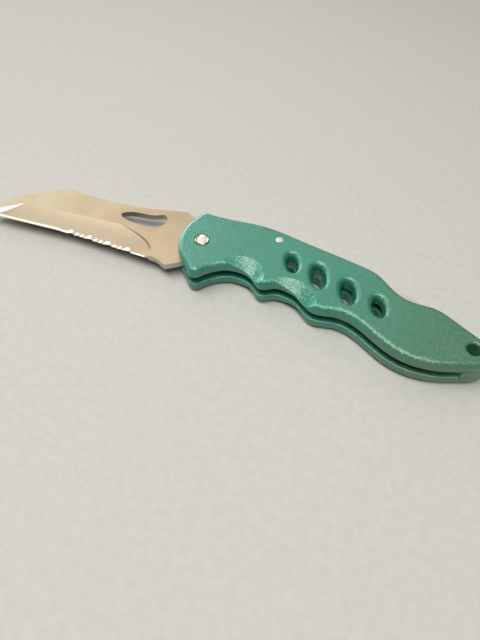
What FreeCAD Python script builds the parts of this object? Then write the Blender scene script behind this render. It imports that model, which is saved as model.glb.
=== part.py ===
import FreeCAD, Part
import math
import os

# Rigging knife, a lockback folding knife lying flat on its right side, blade open.
# Millimetres.  X runs along the knife (blade to -X, butt to +X), Y towards the
# back of the knife, Z is the thickness direction.  All outlines are written with
# the blade pivot at X = Y = 0 and the right-hand face at Z = 0; every piece is
# moved by CENTRE_X, CENTRE_Y at the end, so that the file origin is the middle
# of the open knife's footprint.
V = FreeCAD.Vector

# ---- driving dimensions ---------------------------------------------------
SCALE_T = 4.0            # thickness of one handle scale
SLOT_T = 3.0             # gap between the scales
TOTAL_T = 2 * SCALE_T + SLOT_T
MID_Z = TOTAL_T / 2
EDGE_R = 2.0             # large rounding of the outer handle edge
SLOT_EDGE_R = 0.4        # small rounding beside the slot
CORNER_R = 2.1           # front top corner of the handle

BLADE_T = 2.3
TANG_R = 7.5             # round of the tang under the lock lug
CLOSE_ANGLE = 167.0      # swing of the blade from open to closed
PIVOT_R = 2.6            # outer radius of the pivot barrel
PIVOT_FIT = 0.05
BARREL_BORE_R = 1.55
RIVET_DEPTH = 0.2
RIVET_FLARE = 0.3
FUNNEL = 0.62            # widening of the bore at both ends
FUNNEL_DEPTH = 0.5
BARREL_CHAMFER = 0.25
RIVET_DOME = 0.25        # rise of the rivet's round end
COUNTERBORE_R = 3.1
COUNTERBORE_DEPTH = 0.7
PIVOT_PROUD = 0.2        # pivot end standing above the left face
PIVOT_SUNK = 0.15        # pivot end sunk under the right face

WASHER_R = 5.2
WASHER_GAP = 0.02        # easy fit between washer and tang
WASHER_T = (SLOT_T - BLADE_T) / 2 - WASHER_GAP

ROCKER_X = 24.3          # axis of the rocking lock bar
ROCKER_Y = 13.6
ROCKER_R = 1.35
ROCKER_FIT = 0.05
ROCKER_DOME = 0.2        # rise of the pin's round end

BAR_T = 2.8
LUG_LEFT = -3.0
LUG_RIGHT = 1.5
LUG_GAP = 0.1            # lug held clear of the tang round
NOTCH_DEPTH = 0.9
LUG_SIDE_GAP = 0.45
LUG_FRONT_GAP = 0.6
NOTCH_FLOOR_GAP = 0.1    # tang notch deeper than the lug ever reaches

LANYARD_X = 96.9
LANYARD_R = 2.2
LANYARD_EDGE_R = 0.9

SCREW_SPOTS = [(92.9, 2.3), (94.0, -3.7)]
SCREW_R = 1.0
SCREW_HEAD_R = 1.8
SCREW_TOP_Z = 9.5
SCREW_SLOT_W = 0.5
SCREW_SLOT_DEPTH = 0.4
SCREW_LOW_Z = 0.25       # the head lies a little under the right face
SCREW_RIM_Z = 0.45       # end of the head's straight rim
SCREW_END_GAP = 0.2      # bore left free beyond the screw's end
SCREW_HEAD_FIT = 0.05
FIT = 0.02               # easy fit of fixed pins

SPRING_T = 0.8
SPRING_W = 2.6

CENTRE_X = 9.257
CENTRE_Y = -2.6


# ---- helpers --------------------------------------------------------------
def points(pairs, z=0.0):
    return [V(x, y, z) for x, y in pairs]


def smooth(pairs, z=0.0):
    curve = Part.BSplineCurve()
    curve.interpolate(points(pairs, z))
    return curve.toShape()


def plate(edges, z0, z1):
    face = Part.Face(Part.Wire(Part.__sortEdges__(edges)))
    solid = face.extrude(V(0, 0, z1 - z0))
    solid.translate(V(0, 0, z0))
    return solid


def slab(corners, z0, z1):
    # straight-sided plate
    ring = points(corners + [corners[0]], z0)
    return Part.Face(Part.makePolygon(ring)).extrude(V(0, 0, z1 - z0))


def cylinder(x, y, r, z0, z1):
    return Part.makeCylinder(r, z1 - z0, V(x, y, z0), V(0, 0, 1))


def edges_at(shape, z, keep=None):
    found = []
    for edge in shape.Edges:
        box = edge.BoundBox
        if abs(box.ZMin - z) < 1e-4 and abs(box.ZMax - z) < 1e-4:
            if keep is None or keep(box):
                found.append(edge)
    return found


def upright_edges(shape, x, y):
    found = []
    for edge in shape.Edges:
        box = edge.BoundBox
        if box.ZLength > 1.0 and abs(box.Center.x - x) < 0.3 and abs(box.Center.y - y) < 0.3:
            found.append(edge)
    return found


def mirrored(shape):
    return shape.mirror(V(0, 0, MID_Z), V(0, 0, 1))


# ---- handle outline ---------------------------------------------------------
FRONT_TOP = (-7.0, 14.2)
OUTLINE = [FRONT_TOP, (2.0, 15.3), (9.1, 16.9), (16.4, 18.3), (30.7, 18.1),
           (45.0, 17.5), (54.0, 17.0), (59.6, 16.3), (63.7, 14.4), (68.7, 11.3),
           (73.7, 9.9), (78.0, 10.2), (81.5, 10.7), (85.5, 10.1), (91.6, 7.8),
           (97.6, 5.6), (102.0, 3.0), (103.2, -0.6), (100.8, -4.6), (96.6, -7.1),
           (91.6, -9.75), (86.0, -11.8), (80.1, -12.6), (73.7, -11.8), (66.6, -9.1),
           (60.5, -6.9), (55.1, -6.6), (51.0, -7.9), (47.6, -8.7), (43.7, -7.5),
           (39.5, -5.2), (35.6, -4.55), (31.6, -5.3), (29.5, -7.0), (27.4, -7.9),
           (25.2, -7.1), (22.6, -5.4), (18.3, -4.6), (13.6, -5.7), (9.6, -8.85),
           (7.2, -12.15), (5.9, -14.0), (3.9, -14.6), (0.6, -12.6), (-3.95, -9.05),
           (-7.2, -4.8), (-9.05, 0.4), (-9.3, 4.4), FRONT_TOP]


def handle_block(z0, z1):
    solid = plate([smooth(OUTLINE)], z0, z1)
    corner = upright_edges(solid, FRONT_TOP[0], FRONT_TOP[1])
    return solid.makeFillet(CORNER_R, corner)


# oval see-through holes: centre, length, width, lean
HOLE_LIP_R = 1.9         # rounding of the holes at the outer face
HOLES = [(32.9, 5.9, 8.3, 4.0, -60.0), (43.3, 4.7, 10.6, 5.0, -63.0),
         (54.7, 3.1, 10.2, 4.9, -64.0), (65.7, 2.0, 8.2, 4.2, -64.0)]


def oval(x, y, length, width, lean, z0, z1):
    curve = Part.Ellipse(V(0, 0, 0), length / 2, width / 2)
    tool = plate([curve.toShape()], z0, z1)
    tool.rotate(V(0, 0, 0), V(0, 0, 1), lean)
    tool.translate(V(x, y, 0))
    return tool


# finger scoops, leaning cones steeper on the butt side: centre and radius of
# the rim on the face, shift of the lowest point towards the butt, its depth
SCOOPS = [(19.4, -8.1, 8.5, 3.9, 3.6), (38.0, -11.4, 10.4, 2.5, 6.6)]


def scoop(x, y, r, shift, depth, face_z):
    lowest = V(x + shift, y, face_z - depth)
    rim_middle = V(x, y, face_z)
    over_middle = rim_middle * 2 - lowest
    over = Part.Wire(Part.makeCircle(2 * r, over_middle))
    return Part.makeLoft([Part.Vertex(lowest), over], True, True)


# ---- handle scales ------------------------------------------------------------
def left_scale_blank():
    inner = SCALE_T + SLOT_T
    solid = handle_block(inner, TOTAL_T)
    solid = solid.makeFillet(EDGE_R, edges_at(solid, TOTAL_T))
    solid = solid.makeFillet(SLOT_EDGE_R, edges_at(solid, inner))
    for x, y, r, shift, depth in SCOOPS:
        solid = solid.cut(scoop(x, y, r, shift, depth, TOTAL_T))
    for x, y, length, width, lean in HOLES:
        solid = solid.cut(oval(x, y, length, width, lean, inner - 1, TOTAL_T + 1))
    solid = solid.cut(cylinder(LANYARD_X, 0, LANYARD_R, inner - 1, TOTAL_T + 1))

    def is_oval(box):
        return box.XMin > 27 and box.XMax < 70 and box.YLength < 14 and box.XLength < 9

    def is_lanyard(box):
        return box.XMin > LANYARD_X - 3 and box.XMax < LANYARD_X + 3 and box.YMax < 3

    solid = solid.makeFillet(HOLE_LIP_R, edges_at(solid, TOTAL_T, is_oval))
    solid = solid.makeFillet(LANYARD_EDGE_R, edges_at(solid, TOTAL_T, is_lanyard))
    return solid


def fitted(blank):
    # seats shared by both scales, cut on the left one and mirrored for the right
    inner = SCALE_T + SLOT_T
    solid = blank.cut(cylinder(0, 0, PIVOT_R + FIT, inner - 1, TOTAL_T + 1))
    solid = solid.cut(cylinder(0, 0, COUNTERBORE_R, TOTAL_T - COUNTERBORE_DEPTH, TOTAL_T + 1))
    solid = solid.cut(cylinder(ROCKER_X, ROCKER_Y, ROCKER_R + FIT, inner - 1, TOTAL_T + 1))
    return solid


def make_scales():
    blank = fitted(left_scale_blank())
    left = blank.copy()
    right = mirrored(blank)
    for x, y in SCREW_SPOTS:
        left = left.cut(cylinder(x, y, SCREW_R + FIT, SCALE_T, SCREW_TOP_Z + SCREW_END_GAP))
        right = right.cut(screw(x, y, SCREW_HEAD_FIT, False))
    return left, right


# ---- butt screws, entered from the right-hand face ------------------------------
def screw(x, y, grow, slotted):
    head_h = SCREW_HEAD_R - SCREW_R
    base = SCREW_LOW_Z if slotted else -1.0
    shank = cylinder(x, y, SCREW_R + grow, SCREW_LOW_Z, SCREW_TOP_Z)
    rim = cylinder(x, y, SCREW_HEAD_R + grow, base, SCREW_RIM_Z)
    cone = Part.makeCone(SCREW_HEAD_R + grow, SCREW_R + grow, head_h, V(x, y, SCREW_RIM_Z))
    solid = shank.fuse([rim, cone]).removeSplitter()
    if slotted:
        groove = Part.makeBox(2 * SCREW_HEAD_R, SCREW_SLOT_W, SCREW_SLOT_DEPTH)
        groove.translate(V(-SCREW_HEAD_R, -SCREW_SLOT_W / 2, SCREW_LOW_Z))
        groove.rotate(V(0, 0, 0), V(0, 0, 1), 25 + 10 * x)
        groove.translate(V(x, y, 0))
        solid = solid.cut(groove)
    return solid


def make_screws():
    return Part.makeCompound([screw(x, y, 0.0, True) for x, y in SCREW_SPOTS])


# ---- blade ------------------------------------------------------------------------
KICK = (-7.5, -13.7)
NECK = (-3.0, -9.3)
EDGE_HEEL = (-17.0, -13.3)
EDGE_JOINT = (-54.0, -17.65)   # where the toothed edge meets the plain edge
TIP = (-84.7, -23.75)
HUMP = (-15.5, 14.2)           # corner of the back, just ahead of the handle
BLADE_TOP_Z = MID_Z + BLADE_T / 2
BLADE_LOW_Z = MID_Z - BLADE_T / 2
SHOULDER_X = LUG_LEFT - LUG_FRONT_GAP


def blade_profile():
    brow = Part.makeLine(V(-10.5, 12.9, 0), V(*HUMP, 0))
    back = smooth([HUMP, (-18.4, 12.9), (-23.6, 10.7), (-29.8, 8.5), (-36.2, 6.6),
                   (-42.4, 5.2), (-48.7, 4.1), (-54.9, 3.3), (-60.3, 3.0),
                   (-63.9, 1.9), (-67.5, -0.4), (-73.8, -5.6), (-78.3, -10.0),
                   (-81.9, -15.7), (-84.3, -21.6), TIP])
    plain = Part.makeLine(V(*TIP, 0), V(*EDGE_JOINT, 0))
    toothed = Part.makeLine(V(*EDGE_JOINT, 0), V(*EDGE_HEEL, 0))
    choil = smooth([EDGE_HEEL, (-15.0, -12.7), (-12.2, -12.5), (-9.6, -13.2), KICK])
    kick = Part.makeLine(V(*KICK, 0), V(*NECK, 0))
    neck = Part.makeLine(V(*NECK, 0), V(-1.2, -7.2, 0))
    inner = Part.makeLine(V(-1.2, -7.2, 0), V(0, 0, 0))
    web = Part.makeLine(V(0, 0, 0), V(SHOULDER_X, 5.5, 0))
    shoulder = Part.makeLine(V(SHOULDER_X, 5.5, 0), V(SHOULDER_X, 12.0, 0))
    top = Part.makeLine(V(SHOULDER_X, 12.0, 0), V(-10.5, 12.9, 0))
    return [brow, back, plain, toothed, choil, kick, neck, inner, web, shoulder, top]


def thumb_opening(z0, z1):
    lower = smooth([(-37.1, 1.1), (-36.3, -0.1), (-33.8, -0.8), (-30.0, -1.0),
                    (-25.8, -0.7), (-22.0, 0.2), (-20.0, 1.9), (-19.5, 4.4),
                    (-20.1, 7.1), (-21.5, 8.2), (-23.2, 7.8)])
    upper = smooth([(-23.2, 7.8), (-29.6, 5.0), (-35.8, 2.6), (-37.1, 1.1)])
    return plate([lower, upper], z0, z1)


def lug_seat(turn):
    # room for the lock lug in the tang round
    seat_w = LUG_RIGHT - SHOULDER_X + LUG_SIDE_GAP
    seat_r = TANG_R + LUG_GAP - NOTCH_DEPTH - NOTCH_FLOOR_GAP
    seat = Part.makeBox(seat_w, 20, TOTAL_T, V(SHOULDER_X, 0, 0))
    seat = seat.cut(cylinder(0, 0, seat_r, 0, TOTAL_T))
    seat.rotate(V(0, 0, 0), V(0, 0, 1), turn)
    return seat


# hollow grind: the wheel runs parallel to the plain edge
GRIND_FOOT = V(-70.0, -20.9, 0)   # a point of the wheel's lower line
GRIND_RUN = V(1.0, 0.22, 0)       # direction of the ground flank
GRIND_H = 8.7            # width of the ground flank above its foot
GRIND_LOW = 1.3          # distance from the foot to the thinnest place
WHEEL_R = 60.0
RUN_OUT = V(-75.4, -14.6, 0)      # where the ground flank ends near the tip
RUN_OUT_SIDE = V(0.75, -0.66, 0)  # towards the flank, square to that end
RUN_OUT_SLOPE = 27.0
FLANK_RUN_IN = (-0.6, -0.35)      # lean of the flank's rear end, over half the blade
BEVEL_W = 1.0            # cutting bevel of the plain and the toothed edge
HEEL_BEVEL_W = 0.6       # narrower bevel between the heel and the first tooth
BEVEL_T = 0.32           # half thickness at the top of the cutting bevel
EDGE_T = 0.03            # half thickness left at the very edge
BEVEL_LAP = 0.2          # lap of two bevels where they meet
TOOTH_START = 5.2        # from the heel, along the edge
TOOTH_SLOPE = 22.0       # rise of a tooth's flute up the left face
WIDE_TOOTH = (3.7, 0.7)  # width and depth of a hollow in the edge
SMALL_TOOTH = (2.15, 0.42)
TEETH = 3 * [WIDE_TOOTH, SMALL_TOOTH, SMALL_TOOTH] + [WIDE_TOOTH]
FLUTE_LEAD = 3.0         # a flute tool starts this far outside the edge
FLUTE_LENGTH = 8.0


def run_along(start, end):
    run = V(end[0] - start[0], end[1] - start[1], 0)
    length = run.Length
    run.normalize()
    up = V(-run.y, run.x, 0)
    return run, up, length


def grind_tool():
    run = V(GRIND_RUN)
    run.normalize()
    up = V(-run.y, run.x, 0)
    low = GRIND_FOOT + up * GRIND_LOW + V(0, 0, MID_Z + BEVEL_T)
    high = GRIND_FOOT + up * GRIND_H + V(0, 0, MID_Z + BLADE_T / 2)
    chord = high - low
    middle = (low + high) * 0.5
    normal = V(0, 0, 1) * chord.dot(up) - up * chord.z
    normal.normalize()
    rise = math.sqrt(WHEEL_R ** 2 - (chord.Length / 2) ** 2)
    centre = middle + normal * rise - run * 20
    wheel = Part.makeCylinder(WHEEL_R, 90, centre, run)
    step = V(*FLANK_RUN_IN, -BLADE_T / 2)
    sections = []
    for k in (-1, 0, 1):
        wire = flank_wire(BLADE_TOP_Z)
        wire.translate(step * k)
        sections.append(wire)
    region = Part.makeLoft(sections, True, True)
    return wheel.common(region).common(run_out())


def flank_wire(z):
    # outline of the ground flank; only its rear end lies inside the blade
    rear = smooth([(-15.3, -16.5), (-15.2, -12.6), (-16.3, -9.4), (-19.9, -6.7),
                   (-27.0, -4.8), (-36.0, -3.6)], z)
    corners = points([(-36.0, -3.6), (-68.0, 4.0), (-110.0, 4.0), (-110.0, -40.0),
                      (-15.3, -40.0), (-15.3, -16.5)], z)
    return Part.Wire(Part.__sortEdges__([rear] + Part.makePolygon(corners).Edges))


def run_out():
    # half space above the sloping end of the ground flank
    slope = math.radians(RUN_OUT_SLOPE)
    normal = RUN_OUT_SIDE * math.sin(slope) + V(0, 0, 1) * math.cos(slope)
    block = Part.makeBox(160, 160, 60, V(-80, -80, 0))
    block.rotate(V(0, 0, 0), V(0, 0, 1).cross(normal), RUN_OUT_SLOPE)
    block.translate(RUN_OUT + V(0, 0, BLADE_TOP_Z))
    return block


def bevel_tool(start, end, width, before, after):
    run, up, length = run_along(start, end)
    foot = V(*start, 0) - run * before
    corners = [up * -2 + V(0, 0, MID_Z + EDGE_T),
               V(0, 0, MID_Z + EDGE_T),
               up * width + V(0, 0, MID_Z + BEVEL_T),
               up * (width + 6.0) + V(0, 0, MID_Z + BEVEL_T + 2.6),
               up * -2 + V(0, 0, MID_Z + BEVEL_T + 2.6)]
    ring = [foot + corner for corner in corners]
    face = Part.Face(Part.makePolygon(ring + [ring[0]]))
    return face.extrude(run * (before + length + after))


def teeth_tools():
    # round flutes ground from the left face, square to the edge
    run, up, _ = run_along(EDGE_JOINT, EDGE_HEEL)
    slope = math.radians(TOOTH_SLOPE)
    flute_run = up * math.cos(slope) + V(0, 0, 1) * math.sin(slope)
    off = V(0, 0, 1) * math.cos(slope) - up * math.sin(slope)
    tools = []
    along = TOOTH_START
    for width, bite in TEETH:
        along += width / 2
        # the flute breaks out through the right-hand bevel at its full bite
        sink = EDGE_T + (BEVEL_T - EDGE_T) * bite / BEVEL_W
        dip = bite * math.sin(slope) + sink * math.cos(slope)
        flute_r = ((width / 2) ** 2 + dip ** 2) / (2 * dip)
        spot = V(*EDGE_HEEL, MID_Z - sink) - run * along
        start = spot + up * bite + off * flute_r - flute_run * FLUTE_LEAD
        tools.append(Part.makeCylinder(flute_r, FLUTE_LENGTH, start, flute_run))
        along += width / 2
    return tools


def make_blade():
    solid = plate(blade_profile(), BLADE_LOW_Z, BLADE_TOP_Z)
    solid = solid.fuse(cylinder(0, 0, TANG_R, BLADE_LOW_Z, BLADE_TOP_Z)).removeSplitter()
    solid = solid.cut(lug_seat(0))
    solid = solid.cut(lug_seat(-CLOSE_ANGLE))
    solid = solid.cut(cylinder(0, 0, PIVOT_R + PIVOT_FIT, 0, TOTAL_T))
    solid = solid.cut(thumb_opening(BLADE_LOW_Z - 1, BLADE_TOP_Z + 1))
    run, _, _ = run_along(EDGE_JOINT, EDGE_HEEL)
    first_tooth = V(*EDGE_HEEL, 0) - run * TOOTH_START
    teeth_end = (first_tooth.x, first_tooth.y)
    tools = [grind_tool(),
             bevel_tool(TIP, EDGE_JOINT, BEVEL_W, 4.0, BEVEL_LAP),
             bevel_tool(EDGE_JOINT, teeth_end, BEVEL_W, BEVEL_LAP, 0.0),
             bevel_tool(teeth_end, EDGE_HEEL, HEEL_BEVEL_W, 0.0, 0.3)]
    for tool in tools:
        solid = solid.cut(tool)
        solid = solid.cut(mirrored(tool))
    return solid.cut(teeth_tools())


# ---- lock bar ----------------------------------------------------------------------
def make_lock_bar():
    top = smooth([(LUG_LEFT, 14.0), (2.0, 15.1), (9.1, 16.7), (16.4, 18.05),
                  (30.7, 17.9), (45.0, 17.3), (54.0, 16.8), (60.0, 16.2),
                  (66.3, 15.9), (70.0, 15.1), (76.0, 13.5), (80.0, 11.9)])
    tail = smooth([(80.0, 11.9), (81.3, 10.7), (80.9, 9.3), (79.0, 8.8)])
    under = smooth([(79.0, 8.8), (70.0, 8.7), (60.0, 9.1), (45.0, 9.8),
                    (33.0, 10.0), (24.3, 10.0), (18.5, 10.7), (15.2, 11.1),
                    (13.0, 12.6), (10.6, 13.8), (8.0, 13.9), (5.2, 12.6),
                    (2.8, 10.2), (LUG_RIGHT, 8.8)])
    lug_r = TANG_R + LUG_GAP
    right_y = math.sqrt(lug_r ** 2 - LUG_RIGHT ** 2)
    left_y = math.sqrt(lug_r ** 2 - LUG_LEFT ** 2)
    right = Part.makeLine(V(LUG_RIGHT, 8.8, 0), V(LUG_RIGHT, right_y, 0))
    arc = Part.Arc(V(LUG_RIGHT, right_y, 0), V(0, lug_r, 0), V(LUG_LEFT, left_y, 0))
    front = Part.makeLine(V(LUG_LEFT, left_y, 0), V(LUG_LEFT, 14.0, 0))
    z0 = MID_Z - BAR_T / 2
    solid = plate([top, tail, under, right, arc.toShape(), front], z0, z0 + BAR_T)
    solid = solid.cut(cylinder(ROCKER_X, ROCKER_Y, ROCKER_R + ROCKER_FIT, 0, TOTAL_T))
    return solid


# ---- pivot, rocker pin, washers --------------------------------------------------------
def make_pivot_barrel():
    z0 = PIVOT_SUNK
    z1 = TOTAL_T + PIVOT_PROUD
    solid = cylinder(0, 0, PIVOT_R, z0, z1)
    solid = solid.makeChamfer(BARREL_CHAMFER, edges_at(solid, z1) + edges_at(solid, z0))
    solid = solid.cut(cylinder(0, 0, BARREL_BORE_R, z0 - 1, z1 + 1))
    wide = BARREL_BORE_R + FUNNEL
    upper = Part.makeCone(BARREL_BORE_R, wide, FUNNEL_DEPTH, V(0, 0, z1 - FUNNEL_DEPTH))
    lower = Part.makeCone(wide, BARREL_BORE_R, FUNNEL_DEPTH, V(0, 0, z0))
    return solid.cut(upper).cut(lower)


def domed(x, y, r, rise, z):
    # round head end, rising above z
    ball_r = (r ** 2 + rise ** 2) / (2 * rise)
    ball = Part.makeSphere(ball_r, V(x, y, z + rise - ball_r))
    return ball.common(cylinder(x, y, r, z, z + 2 * rise))


def make_pivot_rivet():
    # peened at both ends, a little below the rims of the barrel
    z0 = PIVOT_SUNK + RIVET_DEPTH
    z1 = TOTAL_T + PIVOT_PROUD - RIVET_DEPTH
    shank_r = BARREL_BORE_R - FIT
    head_r = shank_r + RIVET_FLARE
    shank = cylinder(0, 0, shank_r, z0, z1)
    top = Part.makeCone(shank_r, head_r, RIVET_FLARE, V(0, 0, z1 - RIVET_FLARE))
    low = Part.makeCone(head_r, shank_r, RIVET_FLARE, V(0, 0, z0))
    dome = domed(0, 0, head_r, RIVET_DOME, z1)
    return shank.fuse([top, low, dome]).removeSplitter()


def make_rocker_pin():
    solid = cylinder(ROCKER_X, ROCKER_Y, ROCKER_R, PIVOT_SUNK, TOTAL_T)
    dome = domed(ROCKER_X, ROCKER_Y, ROCKER_R, ROCKER_DOME, TOTAL_T)
    return solid.fuse(dome).removeSplitter()


def make_washer():
    # left-hand washer, between the tang and the left scale
    z1 = SCALE_T + SLOT_T
    z0 = z1 - WASHER_T
    return cylinder(0, 0, WASHER_R, z0, z1).cut(cylinder(0, 0, PIVOT_R + FIT, 0, TOTAL_T))


# ---- butt spacer and lock spring -------------------------------------------------------
def spring_path(offset):
    return smooth([(95.0, 5.05 + offset), (90.0, 5.75 + offset), (84.0, 6.6 + offset),
                   (77.0, 7.45 + offset), (71.0, 7.8 + offset)])


def make_spring():
    lower = spring_path(0.0)
    upper = spring_path(SPRING_T)
    back = Part.makeLine(V(95.0, 5.05, 0), V(95.0, 5.05 + SPRING_T, 0))
    front = Part.makeLine(V(71.0, 7.8, 0), V(71.0, 7.8 + SPRING_T, 0))
    z0 = MID_Z - SPRING_W / 2
    return plate([lower, back, upper, front], z0, z0 + SPRING_W)


def make_butt_spacer():
    z0 = SCALE_T + FIT / 2
    z1 = SCALE_T + SLOT_T - FIT / 2
    solid = handle_block(z0, z1)
    front = smooth([(96.6, -9.4), (95.5, -6.6), (93.0, -6.0), (90.7, -4.5),
                    (89.5, -1.0), (88.9, 4.4)])
    step = Part.makeLine(V(88.9, 4.4, 0), V(83.2, 5.4, 0))
    nose = Part.makeLine(V(83.2, 5.4, 0), V(83.2, 25.0, 0))
    over = Part.makeLine(V(83.2, 25.0, 0), V(-15.0, 25.0, 0))
    left = Part.makeLine(V(-15.0, 25.0, 0), V(-15.0, -20.0, 0))
    below = Part.makeLine(V(-15.0, -20.0, 0), V(96.6, -20.0, 0))
    rise = Part.makeLine(V(96.6, -20.0, 0), V(96.6, -9.4, 0))
    room = plate([front, step, nose, over, left, below, rise], 0, TOTAL_T)
    solid = solid.cut(room)
    lower = spring_path(-FIT)
    upper = spring_path(SPRING_T + FIT)
    back = Part.makeLine(V(95.0, 5.05 - FIT, 0), V(95.0, 5.05 + SPRING_T + FIT, 0))
    slot_front = Part.makeLine(V(71.0, 7.8 - FIT, 0), V(71.0, 7.8 + SPRING_T + FIT, 0))
    solid = solid.cut(plate([lower, back, upper, slot_front], 0, TOTAL_T))
    below_spring = slab([(82.0, 4.9), (88.9, 4.2), (88.9, 6.1), (82.0, 7.0)], 0, TOTAL_T)
    solid = solid.cut(below_spring)
    solid = solid.cut(cylinder(LANYARD_X, 0, LANYARD_R, 0, TOTAL_T))
    for x, y in SCREW_SPOTS:
        solid = solid.cut(cylinder(x, y, SCREW_R + FIT, 0, TOTAL_T))
    return solid


def main():
    os.makedirs("parts", exist_ok=True)
    left, right = make_scales()
    washer = make_washer()
    pieces = {
        "left_scale": left,
        "right_scale": right,
        "blade": make_blade(),
        "lock_bar": make_lock_bar(),
        "pivot_barrel": make_pivot_barrel(),
        "pivot_rivet": make_pivot_rivet(),
        "left_washer": washer,
        "right_washer": mirrored(washer),
        "rocker_pin": make_rocker_pin(),
        "lock_spring": make_spring(),
        "butt_spacer": make_butt_spacer(),
        "butt_screws": make_screws(),
    }
    for name, shape in pieces.items():
        shape.translate(V(-CENTRE_X, -CENTRE_Y, 0))
        box = shape.BoundBox
        shape.exportStep("parts/" + name + ".step")
        print(name, len(shape.Solids), shape.isValid(), round(shape.Volume, 1),
              [round(v, 2) for v in (box.XMin, box.XMax, box.YMin, box.YMax, box.ZMin, box.ZMax)])


main()
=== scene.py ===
from math import radians

import bpy
from mathutils import Euler, Matrix, Vector


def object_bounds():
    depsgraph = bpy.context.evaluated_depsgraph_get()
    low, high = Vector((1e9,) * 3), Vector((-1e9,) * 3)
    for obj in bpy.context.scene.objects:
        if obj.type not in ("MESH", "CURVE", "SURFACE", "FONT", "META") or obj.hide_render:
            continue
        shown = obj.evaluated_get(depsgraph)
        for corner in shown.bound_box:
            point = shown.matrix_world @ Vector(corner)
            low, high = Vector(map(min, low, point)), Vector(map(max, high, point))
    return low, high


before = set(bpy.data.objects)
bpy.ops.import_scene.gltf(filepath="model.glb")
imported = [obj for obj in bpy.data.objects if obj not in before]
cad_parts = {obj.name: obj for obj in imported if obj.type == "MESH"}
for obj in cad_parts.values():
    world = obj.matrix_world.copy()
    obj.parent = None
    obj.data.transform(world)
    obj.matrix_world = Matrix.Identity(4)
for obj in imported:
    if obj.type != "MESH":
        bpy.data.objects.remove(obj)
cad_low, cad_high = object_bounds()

scene = bpy.context.scene

# Lengths and places are in metres, angles in degrees, light in watts.

# ---------------------------------------------------------------- camera values
CAMERA_AT = (0.06372, -0.10737, 0.13629)
CAMERA_TURN = (37.291, -0.909, 28.521)
LENS_MM = 28.125
SENSOR_MM = 36.0
CLIP_NEAR = 0.005
CLIP_FAR = 20.0

# ---------------------------------------------------------------- surface values
NOISE_MIDDLE = (0.3, 0.7)        # the part of a noise's range that most of it fills
LINE_MIDDLE = (0.25, 0.75)       # the same for the sharper noise of brushed lines

BUTT_REFLECTION_FROM = 0.035                # painted reflection: the paint turns duller and browner from here
BUTT_REFLECTION_TO = 0.085                  # to here, towards the butt, standing in for a warm reflection and light falling off there
BUTT_REFLECTION_SHARE = 0.8
CLOUD_SHARE = 0.25               # how much of the darker green the clouds bring
FLAKE_CELLS = 3300
FLAKE_LEAN = 0.42                # how far a flake may lean from the surface
FLAKE_GLINT_FROM = 0.8                 # flakes above this value are paler: partly the paint's own pale flakes, partly a painted glint
FLAKE_GLINT_SHARE = 0.16
PAINT_METALLIC = 0.12
PAINT_SPECULAR = 0.75
PAINT_ROUGH = (0.30, 0.40)
COAT_WEIGHT = 0.5
COAT_ROUGH = 0.3
PEEL_STRENGTH = 0.3
PEEL_DEPTH = 0.00006

RIM_PALE_REACH = 0.0007              # width of the pale band at an edge: partly wear, partly a painted highlight on the rims
RIM_PALE_TURN = (0.995, 0.93)        # cosine of the edge's turn, where the pale band starts and is full
RIM_PALE_PATCHES = (0.42, 0.62)
RIM_PALE_SHARE = 0.35

LINE_DEPTH = 0.00002
LINE_SPREAD = (-0.06, 0.08)      # roughness of brushed metal around its mean
FINE_GRAIN = (900, 900, 900)
LONG_GRAIN = (60, 4000, 4000)

FLANK_SLOPE = (0.9999, 0.9993)   # face-up value where the flat turns into the flank
BEVEL_SLOPE = (0.984, 0.978)     # and where the flank turns into the bevel
BLADE_BITE = 0.3
SATIN_ROUGH = (0.34, 0.46)
BEVEL_ROUGH = 0.5

# ---------------------------------------------------------------- stage and light values
FLOOR_HALF = 1.2
FLOOR_GAP = 0.0002               # the floor lies this far under the knife
FLOOR_ROUGH = 0.9
SKY_COLOUR = (0.9, 0.95, 1.0, 1.0)
SKY_STRENGTH = 0.10
ORIGIN = (0, 0, 0)

# Each light: place, point it faces, width and height, power, colour
OVERHEAD = ((-0.05, -0.15, 0.66), ORIGIN, (0.92, 0.36), 6.6, (1.0, 0.97, 0.89))
FAR_WINDOW = ((-0.36, 0.53, 0.60), ORIGIN, (1.1, 0.8), 2.45, (1.0, 0.97, 0.92))
LEFT_STRIP = ((-0.75, 0.45, 0.14), (0, 0, 0.01), (0.8, 0.28), 5.4, (0.6, 0.92, 1.0))


def linear(r, g, b):
    """sRGB levels, 0 to 255, as a linear colour."""
    out = []
    for value in (r, g, b):
        c = value / 255
        out.append(c / 12.92 if c <= 0.04045 else ((c + 0.055) / 1.055) ** 2.4)
    return (*out, 1.0)


# ---------------------------------------------------------------- camera
def make_camera():
    data = bpy.data.cameras.new("photo_camera")
    data.lens = LENS_MM
    data.sensor_width = SENSOR_MM
    data.clip_start = CLIP_NEAR
    data.clip_end = CLIP_FAR
    camera = bpy.data.objects.new("photo_camera", data)
    scene.collection.objects.link(camera)
    turn = Euler([radians(angle) for angle in CAMERA_TURN])
    camera.matrix_world = Matrix.LocRotScale(Vector(CAMERA_AT), turn, None)
    scene.camera = camera


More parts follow.
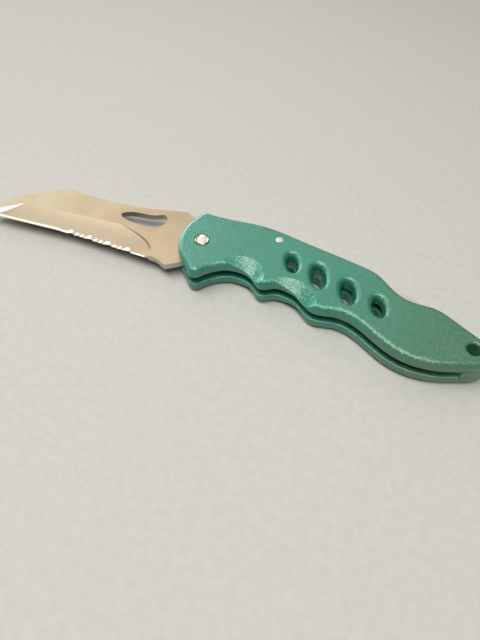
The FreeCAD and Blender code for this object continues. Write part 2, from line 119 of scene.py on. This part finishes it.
# ---------------------------------------------------------------- node helpers
class Graph:
    """A material with short calls for its nodes."""

    def __init__(self, name):
        self.material = bpy.data.materials.new(name)
        self.material.use_nodes = True
        self.tree = self.material.node_tree
        self.tree.nodes.clear()
        self.output = self.add("ShaderNodeOutputMaterial")
        self.shader = self.add("ShaderNodeBsdfPrincipled")
        self.link(self.shader.outputs["BSDF"], self.output.inputs["Surface"])
        self.place = self.add("ShaderNodeTexCoord").outputs["Object"]

    def add(self, kind, **values):
        node = self.tree.nodes.new(kind)
        for key, value in values.items():
            setattr(node, key, value)
        return node

    def link(self, source, target):
        self.tree.links.new(source, target)

    def put(self, value, socket):
        """Link a socket, or set it where the value is plain."""
        if hasattr(value, "is_output"):
            self.link(value, socket)
        else:
            socket.default_value = value

    def surface(self, **values):
        """Shader inputs, named with _ for a space."""
        for key, value in values.items():
            self.put(value, self.shader.inputs[key.replace("_", " ")])

    def stretch(self, scale, turn=(0, 0, 0)):
        node = self.add("ShaderNodeMapping")
        node.inputs["Scale"].default_value = scale
        node.inputs["Rotation"].default_value = turn
        self.link(self.place, node.inputs["Vector"])
        return node.outputs["Vector"]

    def noise(self, scale, detail=3.0, rough=0.5, where=None):
        node = self.add("ShaderNodeTexNoise")
        node.inputs["Scale"].default_value = scale
        node.inputs["Detail"].default_value = detail
        node.inputs["Roughness"].default_value = rough
        self.link(where or self.place, node.inputs["Vector"])
        return node.outputs["Fac"]

    def cells(self, scale):
        """A random colour in each cell of a fine pattern."""
        node = self.add("ShaderNodeTexVoronoi")
        node.inputs["Scale"].default_value = scale
        self.link(self.place, node.inputs["Vector"])
        return node.outputs["Color"]

    def ramp(self, value, span, result=(0.0, 1.0)):
        """A smooth step over a span of the value."""
        node = self.add("ShaderNodeMapRange", interpolation_type="SMOOTHSTEP")
        self.put(value, node.inputs["Value"])
        node.inputs["From Min"].default_value = span[0]
        node.inputs["From Max"].default_value = span[1]
        node.inputs["To Min"].default_value = result[0]
        node.inputs["To Max"].default_value = result[1]
        return node.outputs["Result"]

    def math(self, operation, a, b=0.0):
        node = self.add("ShaderNodeMath", operation=operation)
        for socket, value in zip(node.inputs, (a, b)):
            self.put(value, socket)
        return node.outputs["Value"]

    def share(self, value, amount):
        return self.math("MULTIPLY", value, amount)

    def mix(self, factor, a, b):
        node = self.add("ShaderNodeMix", data_type="RGBA")
        sockets = [socket for socket in node.inputs if socket.enabled]
        for socket, value in zip(sockets, (factor, a, b)):
            self.put(value, socket)
        return [socket for socket in node.outputs if socket.enabled][0]

    def mix_values(self, factor, a, b):
        change = self.math("SUBTRACT", b, a)
        return self.math("ADD", a, self.share(change, factor))

    def bump(self, height, strength, distance):
        node = self.add("ShaderNodeBump")
        node.inputs["Strength"].default_value = strength
        node.inputs["Distance"].default_value = distance
        self.link(height, node.inputs["Height"])
        return node.outputs["Normal"]

    def red(self, colour):
        node = self.add("ShaderNodeSeparateColor")
        self.link(colour, node.inputs["Color"])
        return node.outputs["Red"]

    def axis(self, vector, name):
        node = self.add("ShaderNodeSeparateXYZ")
        self.link(vector, node.inputs[0])
        return node.outputs[name]

    def geometry(self, name):
        return self.add("ShaderNodeNewGeometry").outputs[name]

    def face_up(self):
        """How far the unbumped surface faces up or down, 0 to 1."""
        return self.math("ABSOLUTE", self.axis(self.geometry("True Normal"), "Z"))

    def vector_math(self, operation, *values):
        node = self.add("ShaderNodeVectorMath", operation=operation)
        for socket, value in zip(node.inputs, values):
            self.put(value, socket)
        return node

    def tilted(self, colour, normal, amount):
        """The normal leaned a random way in each cell of a flake pattern."""
        centred = self.vector_math("SUBTRACT", colour, (0.5, 0.5, 0.5)).outputs[0]
        small = self.vector_math("SCALE", centred)
        small.inputs["Scale"].default_value = amount
        leaned = self.vector_math("ADD", normal, small.outputs[0]).outputs[0]
        return self.vector_math("NORMALIZE", leaned).outputs[0]

    def rim_wear_and_highlight(self, colour, pale_rim):
        """Paler paint in patches along the edges: partly wear where hands rub it, partly a
        painted highlight on the rims.
        """
        soft = self.add("ShaderNodeBevel", samples=4)
        soft.inputs["Radius"].default_value = RIM_PALE_REACH
        both = (soft.outputs["Normal"], self.geometry("Normal"))
        turn = self.vector_math("DOT_PRODUCT", *both).outputs["Value"]
        edge = self.ramp(turn, RIM_PALE_TURN)
        patchy = self.ramp(self.noise(260, 4.0, 0.6), RIM_PALE_PATCHES)
        return self.mix(self.share(self.share(edge, patchy), RIM_PALE_SHARE), colour, pale_rim)


# ---------------------------------------------------------------- materials
def handle_paint():
    """Sea-green metallic paint: smooth to the eye, with flakes that glint in a highlight; its
    pale flakes are partly a painted glint, its pale rim band partly a painted highlight, and it
    carries a painted reflection towards the butt.
    """
    g = Graph("handle_paint")
    pale = linear(150, 215, 196)
    cloud = g.ramp(g.noise(45, 3.0, 0.55), NOISE_MIDDLE)
    colour = g.mix(g.share(cloud, CLOUD_SHARE), linear(40, 128, 107), linear(34, 114, 94))
    # painted reflection: duller, browner paint towards the butt stands in for a warm reflection
    # and light falling off there
    butt_reflection = g.ramp(g.axis(g.place, "X"), (BUTT_REFLECTION_FROM, BUTT_REFLECTION_TO))
    colour = g.mix(g.share(butt_reflection, BUTT_REFLECTION_SHARE), colour, linear(74, 114, 88))
    flakes = g.cells(FLAKE_CELLS)
    # pale flakes in the colour: partly the paint's own flakes, partly a painted glint
    flake_glint = g.ramp(g.red(flakes), (FLAKE_GLINT_FROM, 1.0))
    colour = g.mix(g.share(flake_glint, FLAKE_GLINT_SHARE), colour, pale)
    peel = g.bump(g.noise(1100, 3.0, 0.55), PEEL_STRENGTH, PEEL_DEPTH)
    g.surface(
        Base_Color=g.rim_wear_and_highlight(colour, pale),
        Metallic=PAINT_METALLIC,
        Roughness=g.ramp(g.noise(900), NOISE_MIDDLE, PAINT_ROUGH),
        Specular_IOR_Level=PAINT_SPECULAR,
        Coat_Weight=COAT_WEIGHT,
        Coat_Roughness=COAT_ROUGH,
        Normal=g.tilted(flakes, peel, FLAKE_LEAN),
    )
    return g.material


def metal(name, base, tint, rough, grain, bite):
    """Brushed or polished metal, its faint lines set by the grain's three scales."""
    g = Graph(name)
    lines = g.noise(1.0, 6.0, 0.65, g.stretch(grain))
    cloud = g.ramp(g.noise(90), NOISE_MIDDLE)
    span = [rough + change for change in LINE_SPREAD]
    g.surface(
        Base_Color=g.mix(g.share(cloud, 0.5), linear(*base), linear(*tint)),
        Metallic=1.0,
        Roughness=g.ramp(lines, LINE_MIDDLE, span),
        Normal=g.bump(lines, bite, LINE_DEPTH),
    )
    return g.material


def blade_steel():
    """Satin flats, a finer ground flank and a bright cutting bevel, told apart by their slope."""
    g = Graph("blade_steel")
    slope = g.face_up()
    flank = g.ramp(slope, FLANK_SLOPE)
    bevel = g.ramp(slope, BEVEL_SLOPE)
    along = g.noise(1.0, 6.0, 0.7, g.stretch((90, 5200, 5200), (0, 0, -0.15)))
    across = g.noise(1.0, 6.0, 0.7, g.stretch((4200, 120, 4200), (0, 0, -0.2)))
    streak = g.ramp(across, NOISE_MIDDLE)
    cloud = g.ramp(g.noise(60, 4.0, 0.6), NOISE_MIDDLE)
    flat = g.mix(cloud, linear(199, 176, 148), linear(186, 162, 134))
    ground = g.mix(streak, linear(186, 170, 147), linear(177, 160, 137))
    bright = g.mix(streak, linear(206, 204, 196), linear(186, 183, 174))
    lines = g.mix_values(flank, along, across)
    satin = g.ramp(lines, LINE_MIDDLE, SATIN_ROUGH)
    g.surface(
        Base_Color=g.mix(bevel, g.mix(flank, flat, ground), bright),
        Metallic=1.0,
        Roughness=g.mix_values(bevel, satin, BEVEL_ROUGH),
        Normal=g.bump(lines, BLADE_BITE, LINE_DEPTH),
    )
    return g.material


def dress(nodes, material):
    for node in nodes:
        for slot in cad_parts[node].material_slots:
            slot.material = material


def dress_all():
    dress(("left_scale", "right_scale", "butt_spacer"), handle_paint())
    dress(("blade",), blade_steel())
    bar = metal("bar_steel", (238, 230, 212), (216, 206, 188), 0.42, LONG_GRAIN, 0.25)
    dress(("lock_bar",), bar)
    pins = metal("pin_steel", (238, 230, 216), (216, 206, 190), 0.3, FINE_GRAIN, 0.1)
    dress(("pivot_barrel", "pivot_rivet", "rocker_pin", "butt_screws"), pins)
    leaf = metal("spring_steel", (150, 120, 92), (110, 84, 60), 0.36, LONG_GRAIN, 0.25)
    dress(("lock_spring",), leaf)
    bronze = metal("washer_bronze", (196, 150, 96), (160, 116, 70), 0.32, FINE_GRAIN, 0.1)
    dress(("left_washer", "right_washer"), bronze)


# ---------------------------------------------------------------- stage and light
def make_stage():
    mesh = bpy.data.meshes.new("floor")
    signs = ((-1, -1), (1, -1), (1, 1), (-1, 1))
    corners = [(x * FLOOR_HALF, y * FLOOR_HALF, 0) for x, y in signs]
    mesh.from_pydata(corners, [], [(0, 1, 2, 3)])
    floor = bpy.data.objects.new("floor", mesh)
    floor.location.z = cad_low[2] - FLOOR_GAP
    scene.collection.objects.link(floor)
    g = Graph("floor_paper")
    tone = g.ramp(g.noise(400, 4.0), NOISE_MIDDLE)
    g.surface(
        Base_Color=g.mix(tone, linear(190, 190, 188), linear(185, 185, 183)),
        Roughness=FLOOR_ROUGH,
        Specular_IOR_Level=0.0,
    )
    mesh.materials.append(g.material)


def area_light(name, at, aim, size, power, colour):
    data = bpy.data.lights.new(name, "AREA")
    data.shape = "RECTANGLE"
    data.size, data.size_y = size
    data.energy = power
    data.color = colour
    light = bpy.data.objects.new(name, data)
    light.location = at
    light.rotation_euler = (Vector(aim) - Vector(at)).to_track_quat("-Z", "Y").to_euler()
    scene.collection.objects.link(light)
    return light


def make_light():
    world = bpy.data.worlds.new("soft_room")
    world.use_nodes = True
    sky = world.node_tree.nodes["Background"]
    sky.inputs["Color"].default_value = SKY_COLOUR
    sky.inputs["Strength"].default_value = SKY_STRENGTH
    scene.world = world
    area_light("overhead", *OVERHEAD)
    area_light("far_window", *FAR_WINDOW)
    strip = area_light("left_strip", *LEFT_STRIP)
    # the strip shows in reflections only, so it leaves no coloured patch on the floor
    strip.visible_diffuse = False


make_camera()
make_stage()
make_light()
dress_all()

scene.view_settings.view_transform = "Standard"
